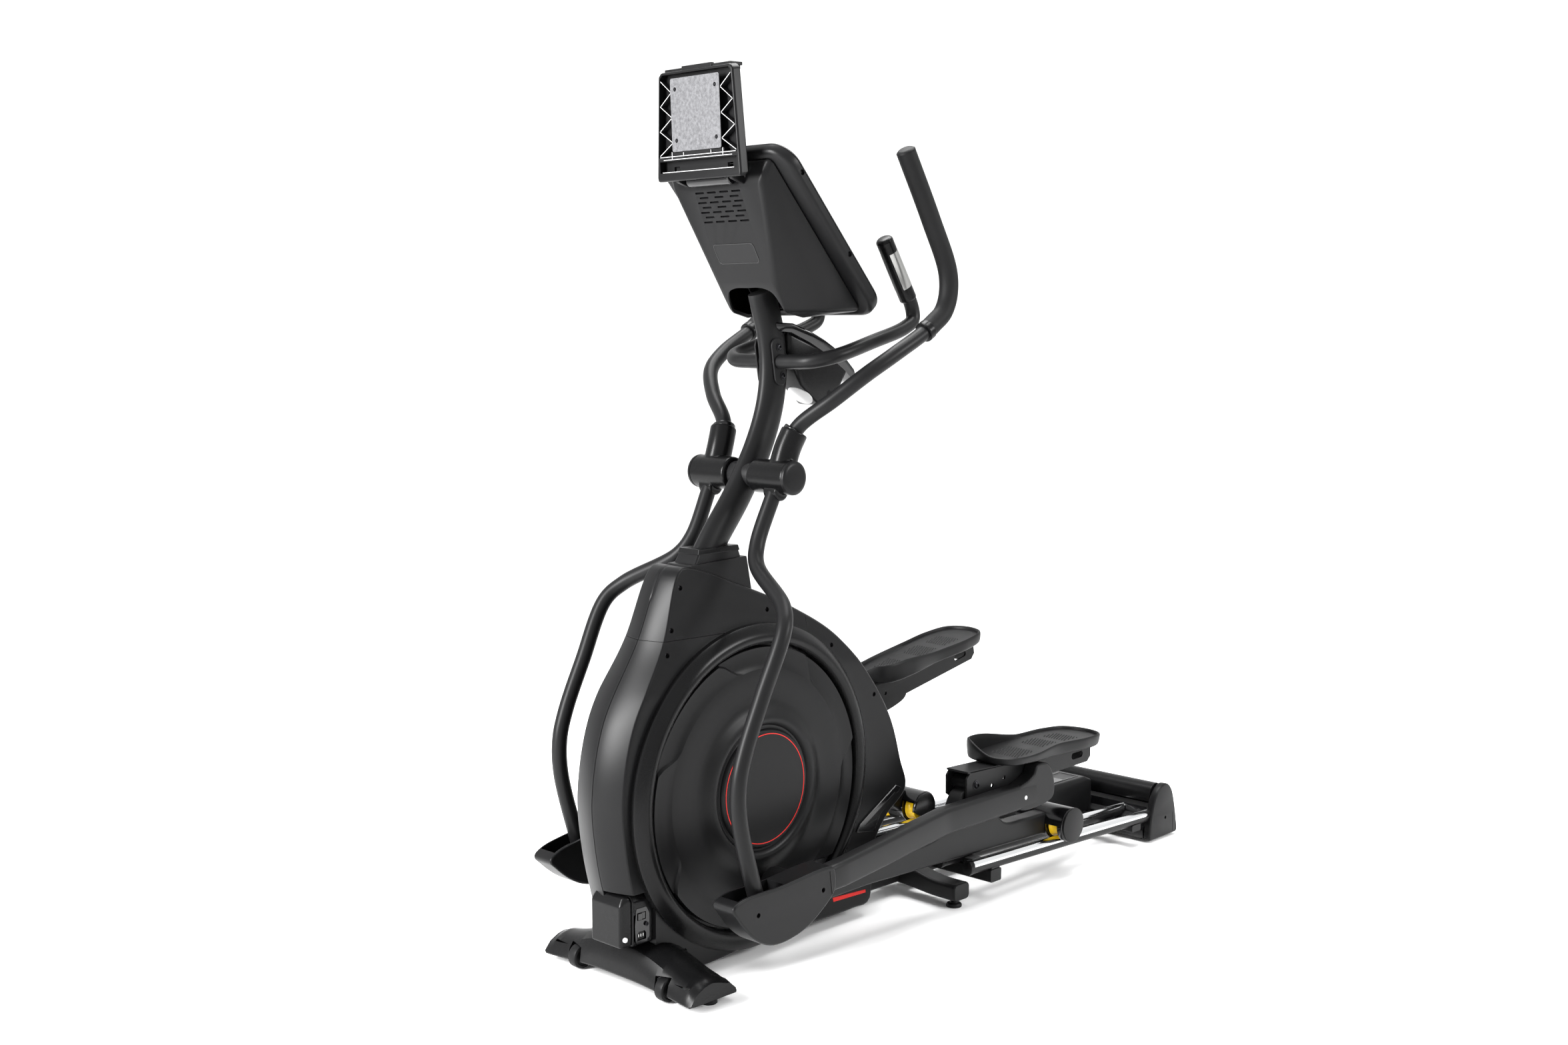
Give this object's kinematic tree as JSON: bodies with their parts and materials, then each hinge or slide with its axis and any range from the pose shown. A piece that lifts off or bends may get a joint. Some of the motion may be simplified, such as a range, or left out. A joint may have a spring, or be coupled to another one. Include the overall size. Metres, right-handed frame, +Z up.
{
  "type": "elliptical trainer",
  "caption": "Elliptical exercise machine with moving handlebars, tray pedals on roller arms, tilted guide rails, disc-covered crank drive and an angled console with a fold-up tablet cradle.",
  "frame": {"origin": "on the floor under the centre of the footprint", "axes": "+Z up; the rails and pedals extend to +X and the console end is at -X; the user faces -X, so the left side is -Y"},
  "size_m": [1.8206, 0.6, 1.8513],
  "materials": {
    "frame_steel": "satin, finely textured powder coat",
    "satin_plastic": "satin",
    "gloss_plastic": "semi-gloss",
    "rail_chrome": "polished",
    "flywheel_iron": "turned",
    "plate_steel": "galvanised",
    "belt_rubber": "matte",
    "foam_rubber": "matte foam",
    "pedal_rubber": "matte",
    "roller_yellow": "semi-gloss"
  },
  "bodies": {
    "frame": {"mast": "frame_steel", "mast_collar": "satin_plastic", "main_frame": "frame_steel", "left_front_foot": "pedal_rubber", "right_front_foot": "pedal_rubber", "left_mid_foot": "pedal_rubber", "right_mid_foot": "pedal_rubber", "front_cover": "satin_plastic", "rear_cover": "satin_plastic", "left_rails": "rail_chrome", "right_rails": "rail_chrome", "rail_centre_cover": "gloss_plastic", "left_side_cover": "satin_plastic", "right_side_cover": "satin_plastic", "top_cover": "satin_plastic", "drive_belt": "belt_rubber", "fixed_handlebar": "frame_steel", "left_pulse_grip": "foam_rubber", "right_pulse_grip": "foam_rubber", "accessory_tray": "satin_plastic", "console_front": "satin_plastic", "console_back": "satin_plastic", "inlet_box": "satin_plastic", "power_inlet": "gloss_plastic"},
    "crank": {"crankset": "frame_steel", "left_disc": "gloss_plastic", "right_disc": "gloss_plastic"},
    "flywheel": {"flywheel": "flywheel_iron"},
    "left_wheel": {"left_transport_wheel": "pedal_rubber"},
    "left_swing_arm": {"left_pivot_housing": "satin_plastic", "left_lower_arm": "frame_steel", "left_upper_handle": "frame_steel", "left_grip": "foam_rubber"},
    "left_foot_link": {"left_shoe": "satin_plastic", "left_connecting_arm": "frame_steel", "left_pedal_bracket": "frame_steel", "left_pedal": "pedal_rubber"},
    "left_roller_axle": {"left_roller_axle": "rail_chrome"},
    "left_pedal_arm": {"left_pedal_arm": "frame_steel", "left_roller_carrier": "gloss_plastic"},
    "left_rollers": {"left_inner_roller": "roller_yellow", "left_outer_roller": "roller_yellow"},
    "right_wheel": {"right_transport_wheel": "pedal_rubber"},
    "right_swing_arm": {"right_pivot_housing": "satin_plastic", "right_lower_arm": "frame_steel", "right_upper_handle": "frame_steel", "right_grip": "foam_rubber"},
    "right_foot_link": {"right_shoe": "satin_plastic", "right_connecting_arm": "frame_steel", "right_pedal_bracket": "frame_steel", "right_pedal": "pedal_rubber"},
    "right_roller_axle": {"right_roller_axle": "rail_chrome"},
    "right_pedal_arm": {"right_pedal_arm": "frame_steel", "right_roller_carrier": "gloss_plastic"},
    "right_rollers": {"right_inner_roller": "roller_yellow", "right_outer_roller": "roller_yellow"},
    "cradle": {"tablet_cradle": "satin_plastic", "cradle_plate": "plate_steel"},
    "rocker": {"power_switch": "gloss_plastic"}
  },
  "joints": [
    {"name": "left_arm_swing", "type": "hinge", "parent": "frame", "child": "left_swing_arm", "pos_m": [-0.4837, 0, 1.02], "axis": [0, -1, 0], "range_deg": [-14.95, 0]},
    {"name": "right_arm_swing", "type": "hinge", "parent": "frame", "child": "right_swing_arm", "pos_m": [-0.4837, 0, 1.02], "axis": [0, -1, 0], "range_deg": [0, 15.24]},
    {"name": "crank_turn", "type": "hinge", "parent": "frame", "child": "crank", "pos_m": [-0.5257, 0, 0.368], "axis": [0, -1, 0], "continuous": true},
    {"name": "flywheel_turn", "type": "hinge", "parent": "frame", "child": "flywheel", "pos_m": [-0.2087, 0, 0.318], "axis": [0, -1, 0], "continuous": true},
    {"name": "left_foot_link_pivot", "type": "hinge", "parent": "left_swing_arm", "child": "left_foot_link", "pos_m": [-0.71032, 0, 0.16451], "axis": [0, -1, 0], "range_deg": [0, 14.25]},
    {"name": "left_rail_slide", "type": "slide", "parent": "frame", "child": "left_roller_axle", "axis": [0.9994, 0, -0.0349], "range_m": [-0.25472, 0]},
    {"name": "left_pedal_arm_tilt", "type": "hinge", "parent": "left_roller_axle", "child": "left_pedal_arm", "pos_m": [0.40035, 0, 0.12558], "axis": [0, -1, 0], "range_deg": [-12.77, 0]},
    {"name": "left_rollers_spin", "type": "hinge", "parent": "left_roller_axle", "child": "left_rollers", "pos_m": [0.40035, 0, 0.12558], "axis": [0, -1, 0], "continuous": true},
    {"name": "right_foot_link_pivot", "type": "hinge", "parent": "right_swing_arm", "child": "right_foot_link", "pos_m": [-0.71375, 0, 0.16542], "axis": [0, -1, 0], "range_deg": [-18.3, 0]},
    {"name": "right_rail_slide", "type": "slide", "parent": "frame", "child": "right_roller_axle", "axis": [0.9994, 0, -0.0349], "range_m": [0, 0.30751]},
    {"name": "right_pedal_arm_tilt", "type": "hinge", "parent": "right_roller_axle", "child": "right_pedal_arm", "pos_m": [0.25469, 0, 0.13067], "axis": [0, -1, 0], "range_deg": [0, 13.56]},
    {"name": "right_rollers_spin", "type": "hinge", "parent": "right_roller_axle", "child": "right_rollers", "pos_m": [0.25469, 0, 0.13067], "axis": [0, -1, 0], "continuous": true},
    {"name": "left_wheel_spin", "type": "hinge", "parent": "frame", "child": "left_wheel", "pos_m": [-0.8337, -0.133, 0.0265], "axis": [0, -1, 0], "continuous": true},
    {"name": "right_wheel_spin", "type": "hinge", "parent": "frame", "child": "right_wheel", "pos_m": [-0.8337, 0.133, 0.0265], "axis": [0, -1, 0], "continuous": true},
    {"name": "cradle_tilt", "type": "hinge", "parent": "frame", "child": "cradle", "pos_m": [-0.58967, 0, 1.64005], "axis": [0, -1, 0], "range_deg": [-10, 40]},
    {"name": "switch_rock", "type": "hinge", "parent": "frame", "child": "rocker", "pos_m": [-0.8357, -0.06, 0.158], "axis": [0, 0, 1], "range_deg": [-8, 8]}
  ],
  "couplings": [
    {"joint": "right_arm_swing", "follows": "left_arm_swing", "ratio": -1.0195},
    {"joint": "crank_turn", "follows": "left_arm_swing", "ratio": 6.2883},
    {"joint": "flywheel_turn", "follows": "left_arm_swing", "ratio": 46.414},
    {"joint": "left_foot_link_pivot", "follows": "left_arm_swing", "ratio": -0.95306},
    {"joint": "left_rail_slide", "follows": "left_arm_swing", "m_per_rad": 0.97593},
    {"joint": "left_pedal_arm_tilt", "follows": "left_arm_swing", "ratio": 0.85411},
    {"joint": "left_rollers_spin", "follows": "left_arm_swing", "ratio": -37.536},
    {"joint": "right_foot_link_pivot", "follows": "left_arm_swing", "ratio": 1.2238},
    {"joint": "right_rail_slide", "follows": "left_arm_swing", "m_per_rad": -1.1783},
    {"joint": "right_pedal_arm_tilt", "follows": "left_arm_swing", "ratio": -0.90667},
    {"joint": "right_rollers_spin", "follows": "left_arm_swing", "ratio": 45.318}
  ]
}
